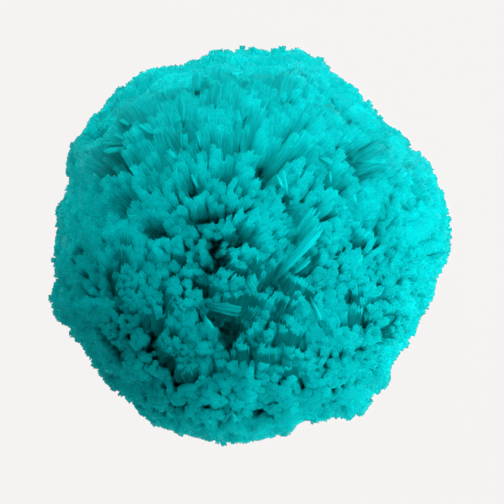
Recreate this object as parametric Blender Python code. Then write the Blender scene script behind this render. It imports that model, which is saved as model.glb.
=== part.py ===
"""Yarn pom pom, 80 mm across, resting on a small flat spot.

Cut yarn ends stand out in every direction from a tied middle. The middle, where the
yarn is packed into one mass, is a small faceted ball. Each of its faces carries one
lock of yarn, which flares as it runs outwards and ends in a rounded tuft. The locks
stand apart but for their roots, so the whole pom pom is one closed solid.

Metres, +Z up, origin on the floor under the middle of the ball. Tables are in
millimetres, as seen from above, with +X to the right and +Y up the page.
"""

import math

import bmesh
import bpy
import numpy as np
from mathutils import Vector

MM = 0.001

# Driving sizes
BALL_RADIUS = 0.0395  # mean radius of the trimmed surface
FLAT_SPOT_RADIUS = 0.0115  # where the ball rests on its shortened locks
TIED_RADIUS = 0.0135  # the packed middle, where the locks' roots are fused
LOCK_POINTS = 270  # points on the middle, where the corners of four to six locks meet
MOST_LOCKS = 300
ROOT_SHARE = 0.72  # a lock's root over its share of the middle, so that the roots stand apart
TIP_SHARE = 0.85  # the same at the trimmed surface
TUFT_SHARE = 0.56  # the flat crown of a lock's end over the whole end
TUFT_RISE = 0.0019  # how far the crown stands over the end's edge
LOCK_UNEVEN = 0.0010  # locks differ in height by up to this, both ways
PARTING_PUSH = 0.0015  # how far the locks round a parting are pushed away from it
POINT_JITTER = 0.19  # how far a point strays before it settles, as a share of the spacing
SETTLE_STEPS = 24
SETTLE_SHARE = 0.08  # of the spacing, moved in each step
SEED = 40

BALL_MIDDLE = Vector((0.0, 0.0, math.sqrt(BALL_RADIUS**2 - FLAT_SPOT_RADIUS**2)))

YARN_COLOUR = (0.0, 0.50, 0.49, 1.0)
YARN_ROUGHNESS = 0.9

# Bearing in degrees from +X, and the ball's radius there as seen from above
OUTLINE = (
    (0, 40.2),
    (15, 39.9),
    (30, 38.2),
    (45, 37.2),
    (60, 38.6),
    (75, 40.2),
    (90, 39.5),
    (105, 39.2),
    (120, 40.7),
    (135, 40.4),
    (150, 40.2),
    (165, 38.8),
    (180, 39.7),
    (195, 40.9),
    (210, 39.8),
    (225, 39.9),
    (240, 40.5),
    (255, 40.2),
    (270, 39.6),
    (285, 38.0),
    (300, 39.4),
    (315, 39.1),
    (330, 37.7),
    (345, 38.5),
)

# Partings on the upper side, where locks fall away from each other: x, y, half width, depth
PARTINGS = (
    (-8.9, 4.5, 3.0, 3.0),
    (-7.3, -1.3, 2.6, 3.0),
    (-8.9, -6.0, 2.6, 2.8),
    (-5.9, -15.7, 3.2, 3.6),
    (0.5, -10.9, 2.6, 2.5),
    (10.5, -4.7, 2.4, 2.5),
    (-11.9, 11.3, 2.6, 2.5),
    (2.3, 14.7, 2.6, 2.5),
    (-19.3, -16.3, 2.8, 3.0),
    (-17.3, -25.5, 3.0, 3.0),
    (-11.3, -27.5, 2.4, 2.5),
    (-28.0, -9.1, 2.6, 2.2),
    (-26.1, -2.9, 2.4, 1.9),
    (-34.9, -2.1, 2.8, 1.9),
    (-29.3, 14.3, 3.4, 2.5),
    (-24.4, 9.1, 2.8, 1.9),
    (-23.9, 16.9, 2.8, 1.9),
    (21.9, 17.3, 4.0, 3.0),
    (5.1, 32.5, 2.8, 1.9),
    (-0.1, 23.9, 2.6, 1.9),
    (12.4, 8.6, 2.6, 2.2),
    (21.5, -15.7, 2.6, 2.5),
    (28.7, -16.3, 3.0, 2.5),
    (7.7, -19.9, 2.6, 2.2),
    (1.0, -22.6, 3.0, 2.8),
    (-29.3, -20.3, 2.8, 1.9),
)

# Strokes that comb the tips to one side: x, y, half width, push along x, push along y
COMBING = (
    (3.9, 24.9, 9.0, 1.7, 2.8),
    (14.5, 24.0, 8.0, 2.4, 2.4),
    (-10.0, 24.9, 8.0, -0.4, 2.8),
    (-20.0, 18.0, 7.0, -2.2, 1.8),
    (-27.0, 10.0, 7.0, -2.8, 0.4),
    (23.0, 14.0, 6.0, 3.0, 0.3),
    (-1.0, 15.0, 6.0, -1.0, 2.4),
    (9.5, 1.5, 4.0, 1.8, 2.2),
    (-3.0, -12.0, 5.0, 2.2, -0.8),
)

# The side that faces the floor gets partings and strokes like those above, at random
UNDER_PARTINGS = 22
UNDER_WIDTH_MM = (2.4, 3.4)
UNDER_DEPTH_MM = (1.6, 3.0)
UNDER_STROKES = 9
STROKE_WIDTH_MM = (5.0, 9.0)
STROKE_PUSH_MM = 2.6


def clear_scene():
    for obj in list(bpy.data.objects):
        bpy.data.objects.remove(obj, do_unlink=True)


def unit(rows):
    return rows / np.linalg.norm(rows, axis=1, keepdims=True)


def upper_direction(x, y):
    """Direction from the ball's middle to the point of its upper side seen at x, y in millimetres."""
    across = np.array([x, y]) * MM / BALL_RADIUS
    return np.array([*across, math.sqrt(max(0.0, 1.0 - float(across @ across)))])


def downward_directions(count, draw):
    """Random directions over the ball's lower part, below its widest level."""
    turn = draw.uniform(0.0, math.tau, count)
    height = draw.uniform(-1.0, -0.1, count)
    level = np.sqrt(1.0 - height**2)
    return np.column_stack([level * np.cos(turn), level * np.sin(turn), height])


def parting_rows(draw):
    """Directions, half widths and depths of all partings, in metres."""
    above = np.array([upper_direction(x, y) for x, y, _, _ in PARTINGS])
    below = downward_directions(UNDER_PARTINGS, draw)
    widths = [w for _, _, w, _ in PARTINGS] + list(draw.uniform(*UNDER_WIDTH_MM, UNDER_PARTINGS))
    depths = [d for _, _, _, d in PARTINGS] + list(draw.uniform(*UNDER_DEPTH_MM, UNDER_PARTINGS))
    return np.vstack([above, below]), np.array(widths) * MM, np.array(depths) * MM


def stroke_rows(draw):
    """Directions, half widths and pushes of all combing strokes, in metres."""
    above = np.array([upper_direction(x, y) for x, y, _, _, _ in COMBING])
    pushes = np.array([(px, py, 0.0) for _, _, _, px, py in COMBING])
    below = downward_directions(UNDER_STROKES, draw)
    pushes_below = draw.uniform(-STROKE_PUSH_MM, STROKE_PUSH_MM, (UNDER_STROKES, 3))
    widths = [w for _, _, w, _, _ in COMBING] + list(draw.uniform(*STROKE_WIDTH_MM, UNDER_STROKES))
    return (
        np.vstack([above, below]),
        np.array(widths) * MM,
        np.vstack([pushes, pushes_below]) * MM,
    )


def near(directions, centres, widths):
    """Bell weights, one row for each direction and one column for each centre on the ball."""
    away = np.linalg.norm(directions[:, None, :] - centres[None, :, :], axis=2) * BALL_RADIUS
    return np.exp(-0.5 * (away / widths) ** 2)


def trimmed_radius(directions, partings):
    """Distance from the middle to the trimmed surface. The outline fades towards the poles."""
    bearing = np.degrees(np.arctan2(directions[:, 1], directions[:, 0])) % 360.0
    table = np.array(OUTLINE)
    rim = np.interp(bearing, table[:, 0], table[:, 1], period=360.0) * MM
    level = 1.0 - directions[:, 2] ** 2
    radius = BALL_RADIUS + (rim - BALL_RADIUS) * level**2
    centres, widths, depths = partings
    return radius - (near(directions, centres, widths) * depths).max(axis=1)


def along_surface(directions, moves):
    """Moves less their part along the direction, so that they run along the ball."""
    return moves - directions * np.sum(moves * directions, axis=1, keepdims=True)


def parted(directions, partings):
    """Directions pushed away from each parting: most at its half width, and little far off."""
    centres, widths, _ = partings
    away = directions[:, None, :] - centres[None, :, :]
    far = np.linalg.norm(away, axis=2) * BALL_RADIUS / widths
    strength = PARTING_PUSH / widths * np.exp(0.5 - 0.5 * far**2)
    return unit(directions + along_surface(directions, (away * strength[:, :, None]).sum(axis=1)))


def combed(directions, strokes):
    """Directions after the strokes have pushed the tips along the surface."""
    centres, widths, pushes = strokes
    push = near(directions, centres, widths) @ pushes
    return unit(directions + along_surface(directions, push) / BALL_RADIUS)


def spread_directions(count, pins, draw):
    """Directions strayed from a spiral, the nearest moved onto the pins, and the rest settled apart."""
    step = np.arange(count) + 0.5
    height = 1.0 - 2.0 * step / count
    turn = step * math.pi * (3.0 - math.sqrt(5.0))
    level = np.sqrt(1.0 - height**2)
    spots = np.column_stack([level * np.cos(turn), level * np.sin(turn), height])
    spacing = math.sqrt(4.0 * math.pi / count)
    spots = unit(spots + draw.normal(0.0, POINT_JITTER * spacing, spots.shape))
    free = np.ones(count, bool)
    for pin in pins:
        taken = np.argmax(np.where(free, spots @ pin, -2.0))
        spots[taken] = pin
        free[taken] = False
    for _ in range(SETTLE_STEPS):
        away = spots[:, None, :] - spots[None, :, :]
        far = np.linalg.norm(away, axis=2) + np.eye(count)
        push = along_surface(spots, (away / far[:, :, None] ** 4).sum(axis=1))
        push /= np.linalg.norm(push, axis=1).max()
        spots[free] = unit(spots[free] + push[free] * SETTLE_SHARE * spacing)
    return spots


def tied_middle(pins, draw):
    """Closed faceted ball whose faces, mostly of four sides and some of three, are one to each lock."""
    bm = bmesh.new()
    for direction in spread_directions(LOCK_POINTS, pins, draw):
        bm.verts.new(Vector(direction) * TIED_RADIUS)
    bmesh.ops.convex_hull(bm, input=bm.verts[:])
    bmesh.ops.join_triangles(
        bm,
        faces=bm.faces[:],
        angle_face_threshold=math.pi,
        angle_shape_threshold=math.pi,
    )
    bmesh.ops.recalc_face_normals(bm, faces=bm.faces[:])
    return bm


def rest_on_floor(point):
    """The point, brought back towards the middle until it is no lower than the floor."""
    if point.z >= 0.0:
        return point
    share = BALL_MIDDLE.z / (BALL_MIDDLE.z - point.z)
    level = BALL_MIDDLE + (point - BALL_MIDDLE) * share
    level.z = 0.0
    return level


def draw_in(face, share):
    """Moves a face's corners towards its middle, to a share of their distance from it."""
    middle = face.calc_center_median()
    for vertex in face.verts:
        vertex.co = middle.lerp(vertex.co, share)


def stretch_locks(ends, partings, strokes, draw):
    """Moves each lock's end out to the trimmed surface, flared, parted and combed."""
    for face in ends:
        middle = face.calc_center_median().normalized()
        flare = TIP_SHARE / ROOT_SHARE
        aims = unit(np.array([middle.lerp(v.co.normalized(), flare) for v in face.verts]))
        aims = parted(aims, partings)
        reach = trimmed_radius(aims, partings) + draw.uniform(-LOCK_UNEVEN, LOCK_UNEVEN) - TUFT_RISE
        for vertex, aim, length in zip(face.verts, combed(aims, strokes), reach):
            vertex.co = Vector(aim) * float(length)


def raise_crowns(crowns):
    """Draws each lock's crown in and lifts it along the lock, which rounds the end."""
    for face in crowns:
        draw_in(face, TUFT_SHARE)
        outwards = face.calc_center_median().normalized() * TUFT_RISE
        for vertex in face.verts:
            vertex.co += outwards


def lock_mesh():
    """The whole pom pom: the tied middle with a lock drawn out of each face."""
    draw = np.random.RandomState(SEED)
    partings = parting_rows(draw)
    strokes = stroke_rows(draw)
    bm = tied_middle(partings[0], draw)
    locks = bm.faces[:]
    assert len(locks) <= MOST_LOCKS, f"{len(locks)} locks"
    bmesh.ops.inset_individual(bm, faces=locks, thickness=0.0)
    for face in locks:
        draw_in(face, ROOT_SHARE)
    locks = bmesh.ops.extrude_discrete_faces(bm, faces=locks)["faces"]
    stretch_locks(locks, partings, strokes, draw)
    locks = bmesh.ops.extrude_discrete_faces(bm, faces=locks)["faces"]
    raise_crowns(locks)
    for vertex in bm.verts:
        vertex.co = rest_on_floor(vertex.co + BALL_MIDDLE)
    mesh = bpy.data.meshes.new("yarn_pom_pom")
    bm.to_mesh(mesh)
    bm.free()
    return mesh


def centre_over_origin(mesh):
    """Shifts the mesh sideways until its box is centred over the origin."""
    across = np.array([vertex.co[:2] for vertex in mesh.vertices])
    shift = -(across.min(axis=0) + across.max(axis=0)) / 2.0
    for vertex in mesh.vertices:
        vertex.co.x += shift[0]
        vertex.co.y += shift[1]


def yarn_material():
    material = bpy.data.materials.new("turquoise_yarn")
    material.use_nodes = True
    shader = material.node_tree.nodes["Principled BSDF"]
    shader.inputs["Base Color"].default_value = YARN_COLOUR
    shader.inputs["Roughness"].default_value = YARN_ROUGHNESS
    shader.inputs["Metallic"].default_value = 0.0
    return material


def build_pom_pom():
    mesh = lock_mesh()
    centre_over_origin(mesh)
    mesh.materials.append(yarn_material())
    pom_pom = bpy.data.objects.new("yarn_pom_pom", mesh)
    bpy.context.scene.collection.objects.link(pom_pom)
    return pom_pom


clear_scene()
build_pom_pom()
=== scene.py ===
"""Turquoise yarn pom pom, 80 mm across, lying on a pale floor and seen from straight above.

Every cut yarn end is a round strand with a domed tip, and a few fibres fray round it.
The ends stand out from a packed middle, gather in locks, and fall apart at partings, as
on a pom pom that was wound, tied, cut and trimmed to a ball.

Metres, +Z up, origin on the floor under the middle of the box. Places in the tables
are in pixels of a 504 x 504 picture, where five pixels are a millimetre. The yarn is
worked out from the ball's middle and moved to its place when a piece is made.
"""

import math

import bpy
import numpy as np
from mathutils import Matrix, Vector


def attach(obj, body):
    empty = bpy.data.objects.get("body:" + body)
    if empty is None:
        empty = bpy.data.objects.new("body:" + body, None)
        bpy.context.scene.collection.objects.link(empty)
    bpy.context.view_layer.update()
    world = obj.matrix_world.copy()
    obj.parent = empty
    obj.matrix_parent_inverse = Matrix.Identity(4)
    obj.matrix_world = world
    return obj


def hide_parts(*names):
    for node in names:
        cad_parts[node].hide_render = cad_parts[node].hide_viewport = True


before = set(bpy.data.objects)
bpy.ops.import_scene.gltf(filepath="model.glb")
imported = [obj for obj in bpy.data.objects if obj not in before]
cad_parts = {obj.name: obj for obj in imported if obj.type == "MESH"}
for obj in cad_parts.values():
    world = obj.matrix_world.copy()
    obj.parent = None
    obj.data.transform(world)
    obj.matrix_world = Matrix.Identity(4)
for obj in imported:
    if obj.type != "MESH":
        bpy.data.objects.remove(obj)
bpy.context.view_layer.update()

MM = 0.001
PIXEL = 0.2 * MM
PICTURE_SIZE = 504
CAMERA_DISTANCE = 0.9
GOLDEN_ANGLE = math.pi * (3.0 - math.sqrt(5.0))
SEED = 7

# The ball, as in the part's solids, its packed middle, and the ball's middle in the picture
BALL_RADIUS = 39.5 * MM
FLAT_SPOT_RADIUS = 11.5 * MM
BALL_MIDDLE = np.array(
    [-0.19 * MM, -0.24 * MM, math.sqrt(BALL_RADIUS**2 - FLAT_SPOT_RADIUS**2)]
)
PACKED_RADIUS = 33.0 * MM
MIDDLE_ACROSS_PX = 250.5
MIDDLE_DOWN_PX = 244.5

# Where the yarn ends start: round the tie, which lies to one side of the ball's middle
TIE_OFF_MIDDLE = np.array([-2.0, -5.0, -3.0]) * MM
ROOT_RADIUS = 18.0 * MM

# Yarn ends: how many, their range of widths, and how unevenly they stand
END_COUNT = 13000
END_WIDTHS = (0.80, 1.20)
END_JITTER = 0.32
END_LEAN = 0.45 * MM
END_UNEVEN = 0.22 * MM

# The strand of an end: shares of its radius at the rings from knee to tip, how far under
# the tip the two upper rings lie, and the places of all its stations on the map
STRAND_SIDES = 6
STRAND_RADIUS = 0.76 * MM
STRAND_WIDTHS = (0.9, 1.0, 0.60)
STRAND_FROM_TIP = (1.10 * MM, 0.38 * MM)
STRAND_MAP = (0.0, 0.22, 0.68, 0.86, 1.0)

# Fibres that fray round a strand. The nearest tip, the strays and the spread at the knee
# are shares of the fray's radius.
FIBRES_IN_END = 5
FRAY_RADIUS = 0.74 * MM
FRAY_NEAREST = 0.45
FRAY_STRAY = 0.12
FRAY_AT_KNEE = 0.35
FRAY_DOME = 0.22 * MM
FIBRE_RADIUS = 0.21 * MM
FIBRE_SIZES = (0.75, 1.25)
FIBRE_UNEVEN = 0.05 * MM

# A wedge: its four faces, with the root as corner 0, and their corners' places on the map,
# across in half widths of a column and along from root to tip
WEDGE_FACES = ((0, 2, 1), (0, 3, 2), (0, 1, 3), (1, 2, 3))
WEDGE_ACROSS = ((0.0, 1.0, -1.0), (0.0, 1.0, -1.0), (0.0, 1.0, -1.0), (-1.0, 1.0, 0.0))
WEDGE_ALONG = ((0.25, 0.96, 0.96), (0.25, 0.96, 0.96), (0.25, 0.96, 0.96), (0.97, 0.97, 1.0))

# A yarn end bends at a knee this far under its tip, which keeps behind where the tip goes
KNEE_DEPTH = 4.5 * MM
KNEE_BEHIND = 0.6

# How far the roots lie outwards from under the tips, as a share of the distance from the
# upright axis, in the lower and in the upper half of the picture
ROOT_SHIFT_LOWER = 0.28
ROOT_SHIFT_UPPER = -0.05
ROOT_SHIFT_BLEND = 10.0 * MM

# Locks of ends: their pull on their ends, lean and height, with a few strays that lean
# far, and the dome over each, which falls no further past its reach in half spacings
LOCK_COUNT = 1100
LOCK_JITTER = 0.6
LOCK_PULL = (0.0, 0.05)
LOCK_LEAN = 0.25 * MM
STRAY_LOCKS = 0.01
STRAY_LEAN = 2.0 * MM
LOCK_UNEVEN = 0.33 * MM
LOCK_DOME = 0.45 * MM
LOCK_DOME_REACH = 1.5

# Shading normals: their lean along the end, their lean outwards from the ball at each ring
# of a strand, and how round the fray, the fibre and the lock look
SHADE_ALONG = 0.4
STRAND_UP = (2.4, 3.6, 7.0)
FRAY_ROUND = 0.12
FIBRE_ROUND = 0.04
LOCK_ROUND = 0.25

# Unevenness of the tint; how much painted shade darkens an end deep in a gap, and how much
# thinner it is; and how far the root's painted shade climbs an end beside a gap
LOCK_TINT = 0.05
END_TINT = 0.02
FIBRE_TINT = 0.02
TINT_LIMITS = (0.02, 0.98)
GAP_SHADE = 0.48
GAP_THINNER = 0.35
GAP_FULL_DEPTH = 2.0 * MM
FLANK_SHADE = 2.0

# Short ends between the others, seen at the bottom of the gaps, whose low tint is painted
# shade
INNER_END_COUNT = 9000
INNER_RADIUS = 34.8 * MM
INNER_UNEVEN = 0.8 * MM
INNER_FIBRE_RADIUS = 0.55 * MM
INNER_SHADE = 0.12

# Bearing in degrees from +X, and the ball's radius there as seen from above, in millimetres
OUTLINE = (
    (0, 40.1), (5, 39.8), (10, 40.1), (15, 39.9), (20, 39.2), (25, 39.1),
    (30, 37.0), (35, 37.9), (40, 36.6), (45, 36.6), (50, 37.0), (55, 37.4),
    (60, 37.9), (65, 38.0), (70, 40.0), (75, 40.3), (80, 39.8), (85, 38.7),
    (90, 39.2), (95, 38.8), (100, 39.9), (105, 38.6), (110, 38.5), (115, 39.6),
    (120, 40.3), (125, 40.4), (130, 41.0), (135, 40.5), (140, 40.8), (145, 40.6),
    (150, 40.7), (155, 40.5), (160, 38.1), (165, 38.2), (170, 39.4), (175, 38.9),
    (180, 39.7), (185, 39.9), (190, 39.1), (195, 41.3), (200, 42.3), (205, 40.2),
    (210, 39.5), (215, 38.9), (220, 39.8), (225, 39.9), (230, 40.3), (235, 39.6),
    (240, 40.9), (245, 40.9), (250, 40.6), (255, 40.8), (260, 39.7), (265, 39.3),
    (270, 39.5), (275, 38.7), (280, 38.9), (285, 36.8), (290, 37.0), (295, 37.9),
    (300, 39.9), (305, 40.4), (310, 39.5), (315, 39.2), (320, 37.2), (325, 36.3),
    (330, 36.8), (335, 37.4), (340, 37.8), (345, 37.9), (350, 37.7), (355, 39.7),
)

# Partings: across and down in pixels where the gap starts, bearing of the push in degrees
# (90 is up the picture), and in mm the half length across the push, the push, and how much
# shorter the yarn is that still stands in the gap
PARTINGS = (
    (217, 98, 80, 1.6, 4.0, 2.5),
    (276, 86, 40, 1.8, 4.0, 3.0),
    (134, 124, 130, 1.8, 3.0, 2.5),
    (165, 150, 105, 1.4, 5.0, 2.0),
    (187, 137, 95, 1.4, 4.4, 2.0),
    (151, 111, 120, 1.2, 2.0, 1.0),
    (104, 173, 150, 2.2, 3.2, 3.0),
    (99, 158, 165, 2.0, 2.6, 2.0),
    (124, 167, 95, 2.6, 2.0, 2.0),
    (154, 167, 90, 1.4, 1.8, 1.5),
    (122, 205, 130, 1.6, 2.4, 3.0),
    (235, 148, 85, 1.4, 4.4, 1.5),
    (247, 122, 60, 1.6, 2.8, 1.5),
    (210, 143, 90, 1.0, 1.8, 1.5),
    (261, 173, 42, 1.2, 8.0, 2.5),
    (351, 158, 12, 2.6, 8.0, 3.0),
    (303, 126, 50, 1.2, 2.0, 1.0),
    (310, 203, 80, 0.5, 1.0, 1.5),
    (320, 217, 60, 1.2, 1.8, 2.0),
    (412, 197, 10, 1.6, 1.6, 1.0),
    (195, 192, 120, 1.2, 2.4, 3.0),
    (203, 222, 95, 2.4, 2.2, 3.0),
    (211, 256, 0, 1.8, 1.6, 3.0),
    (210, 268, 190, 0.8, 1.0, 2.0),
    (228, 243, 80, 1.0, 1.4, 2.0),
    (243, 236, 60, 1.6, 1.6, 3.0),
    (217, 331, 50, 2.6, 4.8, 4.0),
    (199, 292, 50, 1.6, 1.6, 3.0),
    (250, 307, 70, 1.4, 1.6, 2.0),
    (283, 312, 60, 1.2, 1.4, 2.5),
    (302, 274, 45, 1.0, 1.4, 3.0),
    (236, 272, 50, 1.6, 0.8, 2.5),
    (254, 270, 60, 1.2, 1.0, 2.0),
    (263, 290, 70, 0.8, 0.6, 1.5),
    (310, 260, 45, 1.0, 1.4, 2.5),
    (357, 327, 80, 1.4, 2.2, 3.0),
    (308, 297, 50, 1.0, 1.0, 2.0),
    (291, 346, 90, 1.8, 2.0, 3.0),
    (149, 333, 80, 1.6, 3.2, 3.5),
    (161, 368, 10, 2.8, 3.0, 4.0),
    (195, 380, 130, 2.2, 1.8, 3.0),
    (230, 420, 90, 0.8, 1.6, 1.5),
    (242, 361, 90, 1.6, 2.0, 3.0),
    (104, 284, 20, 2.2, 1.8, 2.5),
    (121, 262, 90, 0.9, 1.4, 2.5),
    (158, 300, 0, 1.8, 1.8, 2.5),
    (74, 262, 120, 1.6, 2.0, 1.5),
    (110, 358, 0, 1.4, 1.4, 1.5),
    (104, 348, 30, 2.4, 1.6, 1.5),
    (390, 335, 20, 2.8, 3.2, 4.5),
    (378, 303, 90, 1.6, 0.3, 0.8),
    (353, 299, 90, 1.2, 0.6, 1.0),
    (265, 363, 90, 1.4, 1.4, 2.5),
    (292, 378, 90, 1.4, 1.4, 2.0),
    (148, 230, 110, 1.4, 1.8, 2.0),
    (225, 176, 90, 1.4, 2.0, 1.5),
    (184, 184, 110, 1.4, 1.8, 2.5),
    (259, 150, 60, 1.2, 2.0, 1.5),
    (123, 243, 90, 1.4, 1.2, 2.5),
    (177, 262, 90, 0.9, 1.0, 2.0),
    (361, 244, 80, 1.2, 1.4, 2.0),
    (281, 283, 60, 1.2, 1.4, 2.0),
    (242, 319, 45, 1.6, 1.2, 2.0),
    (272, 273, 60, 1.0, 1.2, 2.0),
    (278, 323, 60, 1.0, 1.2, 2.0),
    (117, 222, 110, 1.0, 1.2, 1.5),
    (337, 188, 60, 1.2, 1.4, 2.0),
    (288, 297, 60, 1.2, 1.4, 2.5),
    (335, 173, 40, 1.0, 1.4, 1.5),
    (226, 347, 70, 1.0, 1.0, 2.0),
    (266, 284, 60, 1.0, 1.0, 2.0),
    (254, 248, 60, 1.0, 1.0, 2.0),
    (292, 242, 60, 1.0, 1.0, 2.0),
    (154, 238, 100, 1.2, 1.4, 2.0),
    (301, 149, 45, 1.0, 2.0, 1.5),
)

# The rest of the ball gets partings like those above, at random, in these ranges in mm
HIDDEN_PARTINGS = 90
HIDDEN_HALF_LENGTH = (1.0, 3.0)
HIDDEN_PUSH = (1.4, 4.2)
HIDDEN_DIP = (1.5, 3.0)

# What the table's half lengths, pushes and shortenings are multiplied by, and what in mm
# is then added to them
PARTINGS_WIDER = (1.15, 1.0, 1.0)
PARTINGS_LARGER = (0.3, 0.9, 0.3)

# How a parting fades: the reach of its push in pushes, the width of its edges, and the
# least cosine between it and an end that it moves
REACH_OF_PUSH = 2.6
PARTING_EDGE = 0.7 * MM
PARTING_FACING = 0.7

# The shortening in a gap: its reach across in half lengths, how slowly and from where it
# fades to the far edge, and a factor on its depth
PIT_REACH = 1.6
PIT_SLOPE = 0.7
PIT_FAR_EDGE = 0.3
PIT_DEPTH_SCALE = 1.6

# Patches where the ends are looser and some are shorter: across and down in pixels, half
# width in mm, how much shorter in mm; and how much painted shade darkens a shorter end for
# each mm
LOOSE_PATCHES = (
    (228, 262, 9.0, 0.60),
    (175, 330, 10.0, 0.30),
    (262, 335, 9.0, 0.50),
    (150, 200, 8.0, 0.30),
)
SUNK_SHADE = 0.20

# Strokes that comb the ends one way: across and down in pixels, bearing of the push in
# degrees, half width in mm, push in mm
COMBING = (
    (250, 110, 85, 9.0, 4.6),
    (310, 105, 55, 8.0, 4.6),
    (190, 110, 100, 8.0, 4.4),
    (130, 150, 145, 7.0, 4.0),
    (370, 160, 20, 7.0, 4.0),
    (250, 330, 90, 9.0, 2.6),
    (330, 350, 115, 9.0, 3.0),
    (160, 350, 60, 9.0, 3.0),
    (250, 400, 90, 9.0, 4.0),
    (110, 290, 30, 9.0, 2.4),
    (390, 290, 150, 8.0, 2.4),
    (310, 410, 110, 8.0, 3.6),
    (190, 410, 75, 8.0, 3.6),
)

# Locks that lean over the others: root across and down in pixels, tip across and down in
# pixels, width in pixels, height of the tip over the ball in mm, tint of the yarn, which on
# the palest locks is a painted highlight
LEANING_LOCKS = (
    (271, 282, 320, 226, 12.0, 2.0, 0.65),
    (289, 246, 315, 210, 13.0, 1.6, 0.59),
    (289, 275, 309, 257, 6.0, 1.4, 0.57),
    (204, 312, 214, 327, 7.0, 1.0, 0.56),
    (201, 302, 243, 310, 12.0, -0.3, 0.30),
    (246, 274, 255, 291, 8.0, 0.8, 0.56),
    (137, 131, 120, 121, 5.5, 1.4, 0.65),
    (134, 147, 105, 146, 6.0, 1.0, 0.56),
    (136, 150, 107, 155, 6.0, 1.0, 0.56),
    (134, 146, 116, 137, 5.0, 0.8, 0.56),
    (160, 142, 142, 128, 6.0, 1.0, 0.57),
    (182, 166, 170, 153, 5.5, 1.4, 0.67),
    (202, 194, 193, 177, 3.5, 1.2, 0.59),
    (215, 117, 223, 91, 3.5, 1.2, 0.57),
    (199, 102, 198, 75, 10.0, 1.2, 0.59),
    (241, 136, 237, 114, 6.0, 1.2, 0.59),
    (243, 128, 254, 108, 5.0, 1.4, 0.63),
    (187, 157, 186, 137, 8.0, 1.2, 0.57),
    (203, 156, 199, 135, 7.0, 1.0, 0.56),
    (186, 134, 186, 104, 6.0, 0.8, 0.53),
    # The palest tints below are painted highlights
    (284, 196, 276, 178, 2.6, 1.6, 0.80),
    (287, 203, 282, 173, 3.0, 1.6, 0.85),
    (353, 210, 350, 196, 2.6, 1.4, 0.85),
    (329, 190, 327, 174, 2.6, 1.4, 0.85),
    (287, 110, 298, 94, 5.5, 1.4, 0.63),
    (282, 112, 284, 96, 5.0, 1.2, 0.63),
    (281, 136, 288, 124, 2.5, 1.2, 0.68),
    (352, 166, 384, 164, 6.0, 1.0, 0.55),
    (312, 158, 330, 168, 8.0, 0.8, 0.53),
    (237, 402, 223, 419, 4.0, 0.8, 0.57),
    (230, 402, 237, 419, 4.0, 0.8, 0.57),
    (306, 292, 318, 318, 5.0, 0.8, 0.61),
)

# Fibres of the leaning locks. The stations are shares of the way from root to tip, with
# the lock's spread and the place on the map at each. The layers and the fray are shares
# of the lock's half width and of its length.
FIBRES_PER_LOCK_PIXEL = 1.7
LOCK_FIBRE_RADIUS = 0.19 * MM
LOCK_FIBRE_WIDTHS = (0.8, 1.0, 0.7)
LOCK_FIBRE_SIZES = (0.8, 1.2)
LOCK_FIBRE_TINT = 0.09
LOCK_STATIONS = (0.0, 0.30, 0.68, 0.95, 1.0)
LOCK_SPREAD = (0.30, 0.62, 0.95, 1.0, 1.0)
LOCK_MAP = (0.0, 0.45, 0.80, 0.97, 1.0)
LOCK_ROOT_DEPTH = 3.5 * MM
LOCK_LAYERS = 0.70
LOCK_FRAY = 0.07

# Their shading: the rings' lean outwards, and shares of the way up and of the way aside
LOCK_UP = (0.0, 0.0, 0.4)
LOCK_SHADE_UP = 0.8
LOCK_SHADE_ASIDE = 0.5

# Strokes at random all over the ball
RANDOM_STROKES = 110
STROKE_WIDTH = (3.5 * MM, 6.5 * MM)
STROKE_PUSH = 1.0 * MM

# Colours, as the shader takes them
YARN_TIP = (0.0, 0.41, 0.41, 1.0)
# Painted shade: the ends' colour darkens to this towards their roots
YARN_ROOT_SHADE = (0.0, 0.14, 0.14, 1.0)
LOOSE_TIP = (0.0, 0.47, 0.47, 1.0)
# Painted shade towards the roots of the leaning locks
LOOSE_ROOT_SHADE = (0.0, 0.13, 0.13, 1.0)
# Painted shade for the packed middle, where no light reaches
PACKED_SHADE = (0.0, 0.08, 0.08, 1.0)
SHEEN_COLOUR = (0.45, 1.0, 1.0, 1.0)
FLOOR_COLOUR = (0.906, 0.889, 0.881, 1.0)
FLOOR_UNDER_GLOW = (0.015, 0.015, 0.015, 1.0)
SURROUND_COLOUR = (0.95, 0.97, 1.0, 1.0)

# How far light spreads under the surface, in the yarn ends and in the leaning locks,
# and the shares of that for red, green and blue
YARN_SCATTER = 2.6 * MM
LOOSE_SCATTER = 0.7 * MM
SCATTER_SHARES = (0.2, 1.0, 1.0)

# The yarn's shader: where along the map the root's painted shade gives way to the tip's
# colour, the roughness of root and tip, how strongly the tint column and the streaks show,
# and the gloss and sheen
FADE_ALONG = (0.10, 0.82)
YARN_ROUGHNESS = (0.95, 0.70)
TINT_SPREAD = 1.2
STREAK_STRENGTH = 0.8
YARN_GLOSS = 0.03
SHEEN_WEIGHT = 0.15
SHEEN_ROUGHNESS = 0.2

# The map: half width of a column, and the scale of the streaks across and along a fibre
MAP_HALF_WIDTH = 0.006
STREAK_SCALE = (170.0, 5.0, 0.0)

# Packed middle: its grid, the waves that make it uneven, its grain and its matt finish
PACKED_RINGS = 44
PACKED_SIDES = 88
PACKED_WAVES = ((31.0, 17.0, 9.0), (-13.0, 29.0, 21.0), (11.0, -19.0, 33.0))
PACKED_WAVE_HEIGHT = 0.25 * MM
PACKED_GRAIN = 900.0
PACKED_BUMP = 0.3 * MM
PACKED_ROUGHNESS = 0.95

# Sides of the ball, each of which is a piece of yarn ends
SIDES = (
    ("top", (0, 0, 1)),
    ("under", (0, 0, -1)),
    ("right", (1, 0, 0)),
    ("left", (-1, 0, 0)),
    ("far", (0, 1, 0)),
    ("near", (0, -1, 0)),
)

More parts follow.
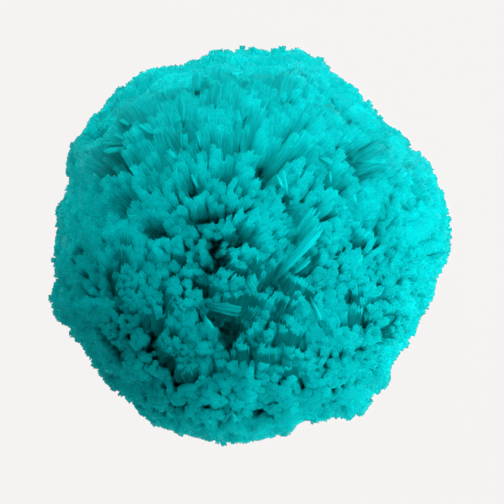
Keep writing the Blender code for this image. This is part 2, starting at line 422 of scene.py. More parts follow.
# Stage: half the floor's width and its roughness, the lamps with their name, place, width
# and power in watts, the strength of the surround, and how far the camera sees
FLOOR_HALF = 1.5
FLOOR_ROUGHNESS = 0.9
LAMPS = (
    ("right", (0.78, -0.28, 0.32), 1.0, 8.5),
    ("far", (0.08, 0.75, 0.45), 1.0, 5.4),
)
SURROUND_STRENGTH = 0.19
CAMERA_REACH = 10.0

draw = np.random.RandomState(SEED)


def unit(rows):
    """Each row over its own length."""
    return rows / np.linalg.norm(rows, axis=-1, keepdims=True)


def across_of(directions):
    """Two unit vectors square to each direction and to each other."""
    pole = np.where(np.abs(directions[:, 2:3]) < 0.9, [[0.0, 0.0, 1.0]], [[1.0, 0.0, 0.0]])
    first = unit(np.cross(pole, directions))
    return first, np.cross(directions, first)


def spiral_directions(count, jitter):
    """Evenly spread directions: height falls in equal steps while the bearing turns by the
    golden angle, and each one strays by jitter times the spacing."""
    step = np.arange(count) + 0.5
    height = 1.0 - 2.0 * step / count
    turn = step * GOLDEN_ANGLE
    level = np.sqrt(1.0 - height**2)
    spots = np.column_stack([level * np.cos(turn), level * np.sin(turn), height])
    spacing = math.sqrt(4.0 * math.pi / count)
    return unit(spots + draw.normal(0.0, jitter * spacing, spots.shape))


def upper_direction(across_px, down_px):
    """Direction to the point of the upper side seen at a place in the picture. What is
    higher is nearer to the camera and looks larger, so its place is brought inwards."""
    x = (np.asarray(across_px) - MIDDLE_ACROSS_PX) * PIXEL / BALL_RADIUS
    y = (MIDDLE_DOWN_PX - np.asarray(down_px)) * PIXEL / BALL_RADIUS
    nearer = 1.0 - np.sqrt(np.clip(1.0 - x**2 - y**2, 0.01, 1.0)) * BALL_RADIUS / CAMERA_DISTANCE
    x, y = x * nearer, y * nearer
    z = np.sqrt(np.clip(1.0 - x**2 - y**2, 0.01, 1.0))
    return unit(np.stack([x, y, z], axis=-1))


def surface_bearing(directions, bearing):
    """Unit vectors along the surface whose bearing, as seen from above, is the given one."""
    turn = np.radians(np.asarray(bearing, float))
    flat = np.stack([np.cos(turn), np.sin(turn)], axis=-1)
    rise = -np.sum(flat * directions[:, :2], axis=1, keepdims=True) / directions[:, 2:3]
    return unit(np.concatenate([flat, rise], axis=1))


def parting_table():
    """Directions, push directions and sizes in metres of all partings."""
    rows = np.array(PARTINGS, float)
    seen = upper_direction(rows[:, 0], rows[:, 1])
    seen_push = surface_bearing(seen, rows[:, 2])
    spots = spiral_directions(HIDDEN_PARTINGS * 2, 0.4)
    hidden = spots[np.argsort(spots[:, 2])[:HIDDEN_PARTINGS]]
    first, second = across_of(hidden)
    turn = draw.uniform(0.0, math.tau, (HIDDEN_PARTINGS, 1))
    hidden_push = first * np.cos(turn) + second * np.sin(turn)
    ranges = (HIDDEN_HALF_LENGTH, HIDDEN_PUSH, HIDDEN_DIP)
    hidden_sizes = np.column_stack([draw.uniform(*span, HIDDEN_PARTINGS) for span in ranges])
    sizes = np.vstack([rows[:, 3:] * PARTINGS_WIDER + PARTINGS_LARGER, hidden_sizes]) * MM
    return np.vstack([seen, hidden]), np.vstack([seen_push, hidden_push]), sizes


def open_partings(tips):
    """Directions of the tips after all partings, from the widest to the narrowest, how much
    each end is shortened by them, and the largest weight that it was pushed with.

    Along the push the weight is a smooth step from nothing to full over PARTING_EDGE,
    then fades as exp(-distance / reach). Across it, it is a bell of the half length.
    """
    spots, pushes, sizes = parting_table()
    sides = np.cross(spots, pushes)
    beside_gap = np.zeros(len(tips))
    for row in np.argsort(-sizes[:, 1]):
        half_length, push, _ = sizes[row]
        along = tips @ pushes[row] * BALL_RADIUS
        beside = tips @ sides[row] * BALL_RADIUS
        bell = np.exp(-0.5 * (beside / half_length) ** 2) * (tips @ spots[row] > PARTING_FACING)
        fade = np.exp(-np.maximum(along, 0.0) / (REACH_OF_PUSH * push))
        weight = smooth_step(along / PARTING_EDGE + 0.5) * fade * bell
        tips = unit(tips + weight[:, None] * pushes[row] * push / BALL_RADIUS)
        beside_gap = np.maximum(beside_gap, weight)
    return tips, pit_depth(tips, spots, pushes, sides, sizes), beside_gap


def pit_depth(tips, spots, pushes, sides, sizes):
    """How much the ends that still stand in a gap are shortened: the gap's depth times a
    steep smooth step at its near edge, a slow one to its far edge, and one across it."""
    half_length, push, dip = sizes.T
    along = tips @ pushes.T * BALL_RADIUS
    beside = tips @ sides.T * BALL_RADIUS
    within = smooth_step(PIT_REACH - np.abs(beside) / half_length)
    within = within * (tips @ spots.T > PARTING_FACING)
    near_edge = smooth_step(along / PARTING_EDGE + 0.5)
    far_edge = smooth_step((push - along) / (PIT_SLOPE * push) + PIT_FAR_EDGE)
    return (near_edge * far_edge * within * dip).max(axis=1)


def combing_effect(directions):
    """Push of each end by the strokes: a bell of the half width round each."""
    rows = np.array(COMBING, float)
    seen = upper_direction(rows[:, 0], rows[:, 1])
    seen_push = surface_bearing(seen, rows[:, 2]) * rows[:, 4:5] * MM
    spots = np.vstack([seen, spiral_directions(RANDOM_STROKES, 0.5)])
    pushes = np.vstack([seen_push, draw.normal(0.0, STROKE_PUSH, (RANDOM_STROKES, 3))])
    widths = np.concatenate([rows[:, 3] * MM, draw.uniform(*STROKE_WIDTH, RANDOM_STROKES)])
    away = np.linalg.norm(directions[:, None, :] - spots[None, :, :], axis=2) * BALL_RADIUS
    return np.exp(-0.5 * (away / widths) ** 2) @ pushes


def sunk_ends(directions):
    """How much shorter some ends are in the loose patches: the size of a normal draw times
    the patches' amounts, each with a bell of the half width."""
    rows = np.array(LOOSE_PATCHES)
    spots = upper_direction(rows[:, 0], rows[:, 1])
    away = np.linalg.norm(directions[:, None, :] - spots[None, :, :], axis=2) * BALL_RADIUS
    amount = np.exp(-0.5 * (away / (rows[:, 2] * MM)) ** 2) @ (rows[:, 3] * MM)
    return np.abs(draw.normal(0.0, 1.0, len(directions))) * amount


def trimmed_radius(directions):
    """Ball radius, with the outline's departure from it fading towards the poles as the
    fourth power of the distance from the upright axis."""
    bearing = np.degrees(np.arctan2(directions[:, 1], directions[:, 0])) % 360.0
    table = np.array(OUTLINE)
    rim = np.interp(bearing, table[:, 0], table[:, 1], period=360.0) * MM
    return BALL_RADIUS + (rim - BALL_RADIUS) * (1.0 - directions[:, 2] ** 2) ** 2


def lower_half(directions):
    """One in the lower half of the picture and nothing in the upper, with a smooth step."""
    return smooth_step(0.5 - 0.5 * directions[:, 1] * BALL_RADIUS / ROOT_SHIFT_BLEND)


def root_shift(directions):
    """Sideways shift of the roots: a share of the distance from the upright axis, which
    blends from the upper half's share to the lower half's and fades under the ball."""
    share = ROOT_SHIFT_UPPER + (ROOT_SHIFT_LOWER - ROOT_SHIFT_UPPER) * lower_half(directions)
    share = share * smooth_step(directions[:, 2] * 1.5 + 0.5)
    return directions * [BALL_RADIUS, BALL_RADIUS, 0.0] * share[:, None]


def smooth_step(value):
    """Three times the square less twice the cube, between 0 and 1."""
    held = np.clip(value, 0.0, 1.0)
    return held * held * (3.0 - 2.0 * held)


def no_lower_than_floor(points):
    """Points under the floor are brought back towards the ball's middle until they lie on it."""
    drop = BALL_MIDDLE[2] - points[..., 2]
    share = np.where(points[..., 2] < 0.0, BALL_MIDDLE[2] / np.maximum(drop, 1e-6), 1.0)
    rested = BALL_MIDDLE + (points - BALL_MIDDLE) * share[..., None]
    rested[..., 2] = np.maximum(rested[..., 2], 0.0)
    return rested


def yarn_ends():
    """Root, knee, tip, tint and width of every yarn end, with the middle of its lock, its
    way off that middle, and how much painted shade it gets beside a gap.

    The tip's direction is the root's, drawn towards the middle of its lock, pushed by
    the partings and combed. Its distance is the trimmed radius, less a dome over each
    lock and the shortening in the partings, with some unevenness. The knee lies under
    the tip on the line to the root, less a share of the way that the tip was moved. An
    end deep in a gap is thinner and darkened by painted shade, and a sunk one gets
    painted shade too.
    """
    roots = spiral_directions(END_COUNT, END_JITTER)
    locks = spiral_directions(LOCK_COUNT, LOCK_JITTER)
    lock_of = np.argmax(roots @ locks.T, axis=1)
    centre = locks[lock_of]
    spacing = math.sqrt(4.0 * math.pi / LOCK_COUNT) * BALL_RADIUS
    off_centre = np.linalg.norm(roots - centre, axis=1) * BALL_RADIUS / (0.5 * spacing)
    pull = draw.uniform(*LOCK_PULL, (LOCK_COUNT, 1))[lock_of]
    strays = draw.uniform(size=(LOCK_COUNT, 1)) < STRAY_LOCKS
    lean = draw.normal(0.0, 1.0, (LOCK_COUNT, 3)) * np.where(strays, STRAY_LEAN, LOCK_LEAN)
    lean = lean[lock_of]
    height = draw.normal(0.0, LOCK_UNEVEN, LOCK_COUNT)[lock_of]
    moved = lean + combing_effect(roots) + draw.normal(0.0, END_LEAN, (END_COUNT, 3))
    start = unit(roots + (centre - roots) * pull + moved / BALL_RADIUS)
    tips, shorter, beside_gap = open_partings(start)
    # Painted shade on the flanks beside gaps, only in the lower half of the picture
    flank_shade = beside_gap * lower_half(tips) * FLANK_SHADE
    reach = trimmed_radius(tips) + height - LOCK_DOME * np.minimum(off_centre, LOCK_DOME_REACH) ** 2
    sunk = sunk_ends(tips)
    reach = reach + draw.normal(0.0, END_UNEVEN, END_COUNT) - sunk
    tint = draw.normal(0.5, LOCK_TINT, LOCK_COUNT)[lock_of] + draw.normal(0.0, END_TINT, END_COUNT)
    in_gap = np.minimum(shorter / GAP_FULL_DEPTH, 1.0)
    # Painted shade: ends deep in a gap and sunk ends get a darker tint
    tint = tint - GAP_SHADE * in_gap - SUNK_SHADE * sunk / MM
    width = draw.uniform(*END_WIDTHS, END_COUNT) * (1.0 - GAP_THINNER * in_gap)
    beside = unit(tips - unit(roots + moved / BALL_RADIUS + (centre - roots))) * off_centre[:, None]
    bend = (tips - roots) * BALL_RADIUS
    tips = tips * reach[:, None]
    away = roots * BALL_RADIUS - TIE_OFF_MIDDLE
    roots = TIE_OFF_MIDDLE + away * (ROOT_RADIUS / BALL_RADIUS) + root_shift(roots)
    tips = tips - unit(tips - roots) * shorter[:, None] * PIT_DEPTH_SCALE
    knees = tips - unit(tips - roots) * KNEE_DEPTH - bend * KNEE_BEHIND
    return roots, knees, tips, tint, width, centre, beside, flank_shade


def frayed_fibres(knees, tips, tint, width, beside):
    """Root point, tip middle, tint and outward lean of the shading of every fibre.

    Each fibre stands a golden angle further round the strand than the one before, and
    further out. It starts closer in at the knee, so that the fray flares outwards, and
    its tip is lower by a dome, the square of its share of the fray's radius.
    """
    count = len(knees)
    axis = unit(tips - knees)
    first, second = across_of(axis)
    step = (np.arange(FIBRES_IN_END) + 0.5) / FIBRES_IN_END
    turn = np.arange(FIBRES_IN_END) * GOLDEN_ANGLE
    turn = turn[None, :] + draw.uniform(0.0, math.tau, (count, 1))
    out = FRAY_NEAREST + (1.0 - FRAY_NEAREST) * step
    out = out[None, :] * FRAY_RADIUS * width[:, None]
    out = out + draw.normal(0.0, FRAY_STRAY * FRAY_RADIUS, (count, FIBRES_IN_END))
    spread = first[:, None, :] * (out * np.cos(turn))[..., None]
    spread = spread + second[:, None, :] * (out * np.sin(turn))[..., None]
    longer = draw.normal(0.0, FIBRE_UNEVEN, (count, FIBRES_IN_END, 1))
    off_strand = np.linalg.norm(spread, axis=2, keepdims=True) / FRAY_RADIUS
    longer = longer - FRAY_DOME * off_strand**2
    fibre_tips = tips[:, None, :] + spread + axis[:, None, :] * longer
    fibre_roots = knees[:, None, :] + spread * FRAY_AT_KNEE
    fibre_tint = tint[:, None] + draw.normal(0.0, FIBRE_TINT, (count, FIBRES_IN_END))
    round_out = spread / FRAY_RADIUS * FRAY_ROUND + beside[:, None, :] * LOCK_ROUND
    return (
        fibre_roots.reshape(-1, 3),
        fibre_tips.reshape(-1, 3),
        fibre_tint.reshape(-1),
        round_out.reshape(-1, 3),
    )


def strand_arrays(centres, radii, tint, round_out, marks, lift):
    """Points, faces, map places and shading normals of closed round strands.

    Each strand has stations from root to tip. The first and the last are single points,
    and the others are rings of STRAND_SIDES corners, square to the line from root to tip.
    marks are the stations' places on the map, and lift turns the rings' shading outwards.
    A strand's column on the map lies at its tint.
    """
    count, stations = centres.shape[:2]
    axis = unit(centres[:, -1] - centres[:, 1])
    first, second = across_of(axis)
    turn = draw.uniform(0.0, math.tau, (count, 1))
    turn = turn + np.arange(STRAND_SIDES) * math.tau / STRAND_SIDES
    out = first[:, None, :] * np.cos(turn)[..., None] + second[:, None, :] * np.sin(turn)[..., None]
    rings = centres[:, 1:-1, None, :] + out[:, None, :, :] * radii[:, :, None, None]
    points = np.concatenate(
        [centres[:, :1], rings.reshape(count, -1, 3), centres[:, -1:]], axis=1
    )
    up = np.array(lift)[None, :, None, None]
    upward = unit(unit(centres[:, -1]) + axis * SHADE_ALONG)
    ring_shade = out[:, None, :, :] + upward[:, None, None, :] * up + round_out[:, None, None, :]
    end_shade = upward[:, None, :] + round_out[:, None, :]
    ring_shade = ring_shade.reshape(count, -1, 3)
    shade = np.concatenate([end_shade, ring_shade, end_shade], axis=1)
    faces, corner_places = strand_shape(stations, marks)
    places = np.broadcast_to(corner_places, (count, *corner_places.shape)).copy()
    places[..., 0] = places[..., 0] + np.clip(tint, *TINT_LIMITS)[:, None, None]
    return points, faces, places, shade


def strand_shape(stations, marks):
    """Faces of one strand, and the map place of each of their corners beside the tint column."""
    side = np.arange(STRAND_SIDES)
    after = (side + 1) % STRAND_SIDES
    top = 1 + (stations - 2) * STRAND_SIDES
    faces = [np.stack([np.zeros_like(side), 1 + after, 1 + side], axis=-1)]
    places = [((0.0, 0), (1.0, 1), (-1.0, 1))]
    for level in range(stations - 3):
        low, high = 1 + level * STRAND_SIDES, 1 + (level + 1) * STRAND_SIDES
        faces.append(np.stack([low + side, low + after, high + after], axis=-1))
        faces.append(np.stack([low + side, high + after, high + side], axis=-1))
        places.append(((-1.0, level + 1), (1.0, level + 1), (1.0, level + 2)))
        places.append(((-1.0, level + 1), (1.0, level + 2), (-1.0, level + 2)))
    last = top - STRAND_SIDES
    faces.append(np.stack([last + side, last + after, np.full_like(side, top)], axis=-1))
    places.append(((-1.0, stations - 2), (1.0, stations - 2), (0.0, stations - 1)))
    corner = np.repeat(np.array(places, float), STRAND_SIDES, axis=0)
    corner[..., 0] = corner[..., 0] * MAP_HALF_WIDTH
    corner[..., 1] = np.array(marks)[corner[..., 1].astype(int)]
    return np.concatenate(faces), corner


def end_strands(roots, knees, tips, tint, width, beside, flank_shade):
    """The round strand of every yarn end, from root over knee to tip, with a domed tip. The
    more painted shade its flank has, the further down the map its corners slide, towards
    the root's painted shade."""
    axis = unit(tips - knees)
    back = np.array(STRAND_FROM_TIP)[None, :, None]
    rings = tips[:, None, :] - axis[:, None, :] * back
    centres = np.concatenate([roots[:, None, :], knees[:, None, :], rings, tips[:, None, :]], axis=1)
    radii = np.array(STRAND_WIDTHS)[None, :] * width[:, None] * STRAND_RADIUS
    points, faces, places, shade = strand_arrays(
        centres, radii, tint, beside * LOCK_ROUND, STRAND_MAP, STRAND_UP
    )
    darker = (1.0 - places[..., 1]) * flank_shade[:, None, None]
    places[..., 1] = np.maximum(places[..., 1] - darker, 0.0)
    return points, faces, places, shade


def lock_rows():
    """The leaning locks of the table, with their ends as places in metres from the ball's
    middle: roots, tips, widths, heights and tints."""
    rows = np.array(LEANING_LOCKS, float)
    middle = np.array([MIDDLE_ACROSS_PX, MIDDLE_DOWN_PX])
    turned = np.array([PIXEL, -PIXEL])
    return (rows[:, 0:2] - middle) * turned, (rows[:, 2:4] - middle) * turned, rows[:, 4:]


def leaning_fibres():
    """Curved fibres of the leaning locks.

    Seen from above a fibre runs straight from its place in the lock's root to its place
    in the lock's tip. Its height is the ball's, less the root's depth times the fourth
    power of what is left of the way, plus the tip's height times the way gone, plus the
    fibre's own layer in the lock, which is thickest in the middle and nothing at the sides.
    """
    root, tip, sizes = lock_rows()
    counts = np.maximum(np.round(sizes[:, 0] * FIBRES_PER_LOCK_PIXEL), 1).astype(int)
    which = np.repeat(np.arange(len(root)), counts)
    total = len(which)
    root, tip, sizes = root[which], tip[which], sizes[which]
    half = 0.5 * sizes[:, 0] * PIXEL - LOCK_FIBRE_RADIUS
    aside = draw.uniform(-1.0, 1.0, total)
    layer = draw.uniform(0.0, 1.0, total) * np.sqrt(1.0 - aside**2)
    way = (tip - root) * (1.0 - np.abs(draw.normal(0.0, LOCK_FRAY, total)))[:, None]
    square = unit(way)[:, ::-1] * [-1.0, 1.0]
    gone = np.array(LOCK_STATIONS)
    wide = half[:, None] * aside[:, None] * np.array(LOCK_SPREAD)
    flat = root[:, None, :] + way[:, None, :] * gone[:, None] + square[:, None, :] * wide[..., None]
    ball = np.sqrt(np.maximum(BALL_RADIUS**2 - np.sum(flat**2, axis=2), 0.0))
    over = sizes[:, 1:2] * MM * gone + (layer * half * LOCK_LAYERS)[:, None]
    height = ball + over - LOCK_ROOT_DEPTH * (1.0 - gone) ** 4
    centres = np.concatenate([flat, height[..., None]], axis=2)
    widths = LOCK_FIBRE_RADIUS * np.array(LOCK_FIBRE_WIDTHS)
    radii = widths[None, :] * draw.uniform(*LOCK_FIBRE_SIZES, (total, 1))
    tint = sizes[:, 2] + draw.normal(0.0, LOCK_FIBRE_TINT, total)
    off_lock = np.pad(square * aside[:, None], ((0, 0), (0, 1)))
    round_out = unit(centres[:, 2]) * LOCK_SHADE_UP + off_lock * LOCK_SHADE_ASIDE
    return strand_arrays(centres, radii, tint, round_out, LOCK_MAP, LOCK_UP)


def inner_fibres():
    """Short wedges from the middle outwards, between the yarn ends, darkened by painted shade
    through their low tint.
    """
    way = spiral_directions(INNER_END_COUNT, END_JITTER)
    reach = INNER_RADIUS + draw.normal(0.0, INNER_UNEVEN, (INNER_END_COUNT, 1))
    tint = INNER_SHADE + draw.normal(0.0, END_TINT, INNER_END_COUNT)
    return wedge_arrays(way * ROOT_RADIUS, way * reach, tint, 0.0 * way, INNER_FIBRE_RADIUS)


def wedge_arrays(roots, tips, tint, round_out, radius=FIBRE_RADIUS):
    """Points, faces, map places and shading normals of long wedges: each is a root point
    and a three-cornered blunt tip, closed by four faces."""
    count = len(roots)
    axis = unit(tips - roots)
    first, second = across_of(axis)
    turn = draw.uniform(0.0, math.tau, count)[:, None] + np.arange(3)[None, :] * math.tau / 3.0
    wide = radius * draw.uniform(*FIBRE_SIZES, (count, 1, 1))
    own = first[:, None, :] * np.cos(turn)[..., None] + second[:, None, :] * np.sin(turn)[..., None]
    points = np.concatenate([roots[:, None, :], tips[:, None, :] + own * wide], axis=1)
    across = np.clip(tint, *TINT_LIMITS)[:, None, None] + MAP_HALF_WIDTH * np.array(WEDGE_ACROSS)
    along = np.broadcast_to(np.array(WEDGE_ALONG), across.shape)
    places = np.stack([across, along], axis=-1)
    shade = np.repeat(round_out[:, None, :], 4, axis=1)
    shade[:, 1:] = shade[:, 1:] + own * FIBRE_ROUND
    shade = shade + unit(unit(tips) + axis * SHADE_ALONG)[:, None, :]
    return points, np.array(WEDGE_FACES), places, shade


def joined_piece(name, parts):
    """One mesh of several sets of arrays, moved to the ball's middle and kept off the floor.
    The shading normals make each end and each lock look round."""
    points, faces, places, shade = [], [], [], []
    start = 0
    for part_points, shape, part_places, part_shade in parts:
        count, corners = part_points.shape[:2]
        rested = no_lower_than_floor(part_points + BALL_MIDDLE)
        points.append(rested.reshape(-1, 3))
        first = start + corners * np.arange(count)[:, None, None]
        faces.append((shape[None, :, :] + first).reshape(-1, 3))
        places.append(part_places.reshape(-1, 2))
        shade.append(part_shade.reshape(-1, 3))
        start = start + count * corners
    piece = mesh_piece(name, np.concatenate(points), np.concatenate(faces), np.concatenate(places))
    piece.data.normals_split_custom_set_from_vertices(unit(np.concatenate(shade)))
    return piece


def mesh_piece(name, points, faces, places):
    """A smooth piece from arrays of points, three-cornered faces and map places."""
    mesh = bpy.data.meshes.new(name)
    mesh.vertices.add(len(points))
    mesh.vertices.foreach_set("co", points.ravel())
    mesh.loops.add(faces.size)
    mesh.loops.foreach_set("vertex_index", faces.ravel())
    mesh.polygons.add(len(faces))
    mesh.polygons.foreach_set("loop_start", np.arange(0, faces.size, 3))
    mesh.update(calc_edges=True)
    mesh.polygons.foreach_set("use_smooth", np.ones(len(faces), bool))
    layer = mesh.uv_layers.new(name="OFBake")
    layer.data.foreach_set("uv", places.ravel())
    mesh.validate()
    piece = bpy.data.objects.new(name, mesh)
    bpy.context.scene.collection.objects.link(piece)
    return piece


def fibre_tint_group():
    """Colour and roughness along a fibre.

    A smooth step of the map's second number goes from the root's painted shade to the tip's
    colour, and the roughness falls evenly with that number. The colour's brightness is one,
    plus the map's first number less a half, times the spread, plus a fine noise less a half,
    drawn out along the fibre, times the streaks. The first number holds random tone, and also
    the painted shade of ends in gaps, of sunk ends and of the inner ends.
    """
    group = bpy.data.node_groups.new("fibre tint", "ShaderNodeTree")
    side = group.interface
    side.new_socket("Root Painted Shade", in_out="INPUT", socket_type="NodeSocketColor")
    side.new_socket("Tip Colour", in_out="INPUT", socket_type="NodeSocketColor")
    side.new_socket("Spread", in_out="INPUT", socket_type="NodeSocketFloat")
    side.new_socket("Streaks", in_out="INPUT", socket_type="NodeSocketFloat")
    side.new_socket("Colour", in_out="OUTPUT", socket_type="NodeSocketColor")
    side.new_socket("Roughness", in_out="OUTPUT", socket_type="NodeSocketFloat")
    nodes, links = group.nodes, group.links
    inward = nodes.new("NodeGroupInput")
    outward = nodes.new("NodeGroupOutput")
    place = nodes.new("ShaderNodeUVMap")
    place.uv_map = "OFBake"
    parts = nodes.new("ShaderNodeSeparateXYZ")
    links.new(place.outputs["UV"], parts.inputs["Vector"])
    fade = nodes.new("ShaderNodeMapRange")
    fade.interpolation_type = "SMOOTHSTEP"
    fade.inputs["From Min"].default_value = FADE_ALONG[0]
    fade.inputs["From Max"].default_value = FADE_ALONG[1]
    links.new(parts.outputs["Y"], fade.inputs["Value"])
    mix = nodes.new("ShaderNodeMix")
    mix.data_type = "RGBA"
    links.new(fade.outputs["Result"], mix.inputs["Factor"])
    links.new(inward.outputs["Root Painted Shade"], mix.inputs["A"])
    links.new(inward.outputs["Tip Colour"], mix.inputs["B"])
    centred = nodes.new("ShaderNodeMath")
    centred.operation = "SUBTRACT"
    centred.inputs[1].default_value = 0.5
    links.new(parts.outputs["X"], centred.inputs[0])
    scaled = nodes.new("ShaderNodeMath")
    scaled.operation = "MULTIPLY_ADD"
    scaled.inputs[2].default_value = 1.0
    links.new(centred.outputs["Value"], scaled.inputs[0])
    links.new(inward.outputs["Spread"], scaled.inputs[1])
    longer = nodes.new("ShaderNodeVectorMath")
    longer.operation = "MULTIPLY"
    longer.inputs[1].default_value = STREAK_SCALE
    links.new(place.outputs["UV"], longer.inputs[0])
    noise = nodes.new("ShaderNodeTexNoise")
    noise.noise_dimensions = "2D"
    noise.inputs["Scale"].default_value = 1.0
    links.new(longer.outputs["Vector"], noise.inputs["Vector"])
    off_middle = nodes.new("ShaderNodeMath")
    off_middle.operation = "SUBTRACT"
    off_middle.inputs[1].default_value = 0.5
    links.new(noise.outputs["Fac"], off_middle.inputs[0])
    streaked = nodes.new("ShaderNodeMath")
    streaked.operation = "MULTIPLY_ADD"
    links.new(off_middle.outputs["Value"], streaked.inputs[0])
    links.new(inward.outputs["Streaks"], streaked.inputs[1])
    links.new(scaled.outputs["Value"], streaked.inputs[2])
    shade = nodes.new("ShaderNodeHueSaturation")
    links.new(streaked.outputs["Value"], shade.inputs["Value"])
    links.new(mix.outputs["Result"], shade.inputs["Color"])
    links.new(shade.outputs["Color"], outward.inputs["Colour"])
    rough = nodes.new("ShaderNodeMapRange")
    rough.inputs["To Min"].default_value = YARN_ROUGHNESS[0]
    rough.inputs["To Max"].default_value = YARN_ROUGHNESS[1]
    links.new(parts.outputs["Y"], rough.inputs["Value"])
    links.new(rough.outputs["Result"], outward.inputs["Roughness"])
    return group


def yarn_material(name, tint_group, root_painted_shade, tip_colour, scatter):
    """Turquoise yarn: a fuzzy, matt fibre with a pale sheen at grazing angles, whose colour
    fades to a painted shade towards the root. Light spreads between the fibres, which softens
    the shade of the small gaps."""
    material = bpy.data.materials.new(name)
    material.use_nodes = True
    nodes, links = material.node_tree.nodes, material.node_tree.links
    shader = nodes["Principled BSDF"]
    tint = nodes.new("ShaderNodeGroup")
    tint.node_tree = tint_group
    tint.inputs["Root Painted Shade"].default_value = root_painted_shade
    tint.inputs["Tip Colour"].default_value = tip_colour
    tint.inputs["Spread"].default_value = TINT_SPREAD
    tint.inputs["Streaks"].default_value = STREAK_STRENGTH
    links.new(tint.outputs["Colour"], shader.inputs["Base Color"])
    links.new(tint.outputs["Roughness"], shader.inputs["Roughness"])
    shader.inputs["Specular IOR Level"].default_value = YARN_GLOSS
    shader.inputs["Subsurface Weight"].default_value = 1.0
    shader.inputs["Subsurface Radius"].default_value = SCATTER_SHARES
    shader.subsurface_method = "BURLEY"
    shader.inputs["Subsurface Scale"].default_value = scatter
    shader.inputs["Sheen Weight"].default_value = SHEEN_WEIGHT
    shader.inputs["Sheen Roughness"].default_value = SHEEN_ROUGHNESS
    shader.inputs["Sheen Tint"].default_value = SHEEN_COLOUR
    return material


def packed_yarn_piece():
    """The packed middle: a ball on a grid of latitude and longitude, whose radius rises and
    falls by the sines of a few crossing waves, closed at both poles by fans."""
    rings, sides = PACKED_RINGS, PACKED_SIDES
    down = (np.arange(1, rings) / rings * math.pi)[:, None]
    turn = (np.arange(sides) / sides * math.tau)[None, :]
    x, y, z = np.sin(down) * np.cos(turn), np.sin(down) * np.sin(turn), np.cos(down) + 0.0 * turn
    shell = np.stack([x, y, z], axis=-1).reshape(-1, 3)
    lump = np.sin(shell @ np.array(PACKED_WAVES).T).sum(axis=1)
    shell = shell * (PACKED_RADIUS + PACKED_WAVE_HEIGHT * lump)[:, None]
    poles = np.array([(0.0, 0.0, PACKED_RADIUS), (0.0, 0.0, -PACKED_RADIUS)])
    points = np.vstack([shell, poles]) + BALL_MIDDLE
    ring = np.arange(rings - 2)[:, None] * sides
    here, after = np.arange(sides)[None, :], (np.arange(sides)[None, :] + 1) % sides
    a, b, c, d = ring + here, ring + sides + here, ring + sides + after, ring + after
    low_walls = np.stack([a, b, c], axis=-1).reshape(-1, 3)
    high_walls = np.stack([a, c, d], axis=-1).reshape(-1, 3)
    top, bottom = len(shell), len(shell) + 1
    last = (rings - 2) * sides
    fan_top = np.stack([np.full(sides, top), here[0], after[0]], axis=-1)
    fan_bottom = np.stack([np.full(sides, bottom), last + after[0], last + here[0]], axis=-1)
    faces = np.concatenate([low_walls, high_walls, fan_top, fan_bottom])
    places = np.zeros((len(faces), 3, 2))
    local = unit(points - BALL_MIDDLE)[faces]
    places[..., 0] = np.arctan2(local[..., 1], local[..., 0]) / math.tau + 0.5
    places[..., 1] = local[..., 2] * 0.5 + 0.5
    return mesh_piece("packed_yarn", points, faces, places)


def packed_material():
    """Painted shade: a deep turquoise for the yarn where no light reaches, mottled by noise
    towards the roots' painted shade.
    """
    material = bpy.data.materials.new("packed_yarn")
    material.use_nodes = True
    nodes, links = material.node_tree.nodes, material.node_tree.links
    shader = nodes["Principled BSDF"]
    place = nodes.new("ShaderNodeTexCoord")
    noise = nodes.new("ShaderNodeTexNoise")
    noise.inputs["Scale"].default_value = PACKED_GRAIN
    links.new(place.outputs["Object"], noise.inputs["Vector"])
    mix = nodes.new("ShaderNodeMix")
    mix.data_type = "RGBA"
    mix.inputs["A"].default_value = PACKED_SHADE
    mix.inputs["B"].default_value = YARN_ROOT_SHADE
    links.new(noise.outputs["Fac"], mix.inputs["Factor"])
    links.new(mix.outputs["Result"], shader.inputs["Base Color"])
    bump = nodes.new("ShaderNodeBump")
    bump.inputs["Distance"].default_value = PACKED_BUMP
    links.new(noise.outputs["Fac"], bump.inputs["Height"])
    links.new(bump.outputs["Normal"], shader.inputs["Normal"])
    shader.inputs["Roughness"].default_value = PACKED_ROUGHNESS
    return material


def dress(piece, material):
    """Gives a piece its material and its place on the part."""
    piece.data.materials.append(material)
    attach(piece, "root")
    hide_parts("yarn_pom_pom")


def build_yarn():
    """All pieces of the pom pom. Each side of the ball is a piece, and a lock stays whole."""
    tint_group = fibre_tint_group()
    yarn = yarn_material("turquoise_yarn", tint_group, YARN_ROOT_SHADE, YARN_TIP, YARN_SCATTER)
    loose = yarn_material("loose_yarn", tint_group, LOOSE_ROOT_SHADE, LOOSE_TIP, LOOSE_SCATTER)
    roots, knees, tips, tint, width, centre, beside, flank_shade = yarn_ends()
    side_of = np.argmax(centre @ np.array([way for _, way in SIDES], float).T, axis=1)
    for number, (name, _) in enumerate(SIDES):
        here = side_of == number
        outer = knees[here], tips[here], tint[here], width[here], beside[here]
        strands = end_strands(roots[here], *outer, flank_shade[here])
        fibres = wedge_arrays(*frayed_fibres(*outer))
        dress(joined_piece(f"yarn_ends_{name}", (strands, fibres)), yarn)
    dress(joined_piece("leaning_locks", (leaning_fibres(),)), loose)
    dress(joined_piece("inner_ends", (inner_fibres(),)), yarn)
    dress(packed_yarn_piece(), packed_material())


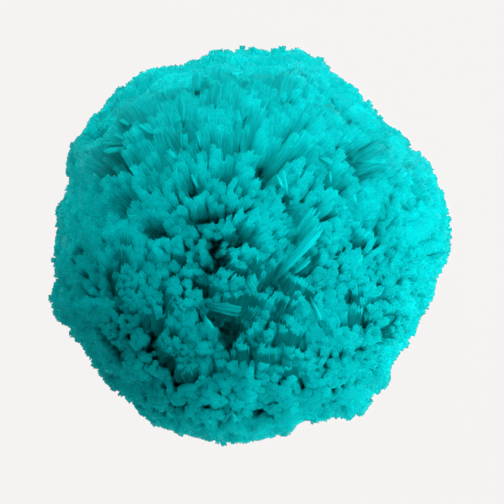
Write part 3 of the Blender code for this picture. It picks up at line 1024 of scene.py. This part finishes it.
def build_stage():
    """Pale floor, which shines a little so that the shadow on it stays faint."""
    mesh = bpy.data.meshes.new("floor")
    low, high = -FLOOR_HALF, FLOOR_HALF
    mesh.from_pydata(
        [(low, low, 0.0), (high, low, 0.0), (high, high, 0.0), (low, high, 0.0)],
        [],
        [(0, 1, 2, 3)],
    )
    floor = bpy.data.objects.new("floor", mesh)
    bpy.context.scene.collection.objects.link(floor)
    material = bpy.data.materials.new("pale_floor")
    material.use_nodes = True
    shader = material.node_tree.nodes["Principled BSDF"]
    shader.inputs["Base Color"].default_value = FLOOR_UNDER_GLOW
    shader.inputs["Roughness"].default_value = FLOOR_ROUGHNESS
    shader.inputs["Specular IOR Level"].default_value = 0.0
    shader.inputs["Emission Color"].default_value = FLOOR_COLOUR
    shader.inputs["Emission Strength"].default_value = 1.0
    mesh.materials.append(material)


def area_light(name, place, size, power):
    """Square lamp that faces the ball's middle."""
    data = bpy.data.lights.new(name, "AREA")
    data.size = size
    data.energy = power
    lamp = bpy.data.objects.new(name, data)
    bpy.context.scene.collection.objects.link(lamp)
    lamp.location = place
    toward = BALL_MIDDLE - np.array(place)
    lamp.rotation_mode = "QUATERNION"
    lamp.rotation_quaternion = Vector(toward).to_track_quat("-Z", "Y")


def build_light_and_camera():
    """Two soft lamps, low on the picture's right and far sides, a pale surround, and a
    long lens straight above."""
    for name, place, size, power in LAMPS:
        area_light(name, place, size, power)
    world = bpy.data.worlds.new("surround")
    bpy.context.scene.world = world
    world.use_nodes = True
    back = world.node_tree.nodes["Background"]
    back.inputs["Color"].default_value = SURROUND_COLOUR
    back.inputs["Strength"].default_value = SURROUND_STRENGTH
    lens = bpy.data.cameras.new("camera")
    camera = bpy.data.objects.new("camera", lens)
    bpy.context.scene.collection.objects.link(camera)
    middle_px = PICTURE_SIZE / 2.0
    camera.location = (
        BALL_MIDDLE[0] + (middle_px - MIDDLE_ACROSS_PX) * PIXEL,
        BALL_MIDDLE[1] - (middle_px - MIDDLE_DOWN_PX) * PIXEL,
        BALL_MIDDLE[2] + CAMERA_DISTANCE,
    )
    lens.lens = lens.sensor_width * CAMERA_DISTANCE / (PICTURE_SIZE * PIXEL)
    lens.clip_end = CAMERA_REACH
    bpy.context.scene.camera = camera
    bpy.context.scene.view_settings.view_transform = "Standard"


build_yarn()
build_stage()
build_light_and_camera()
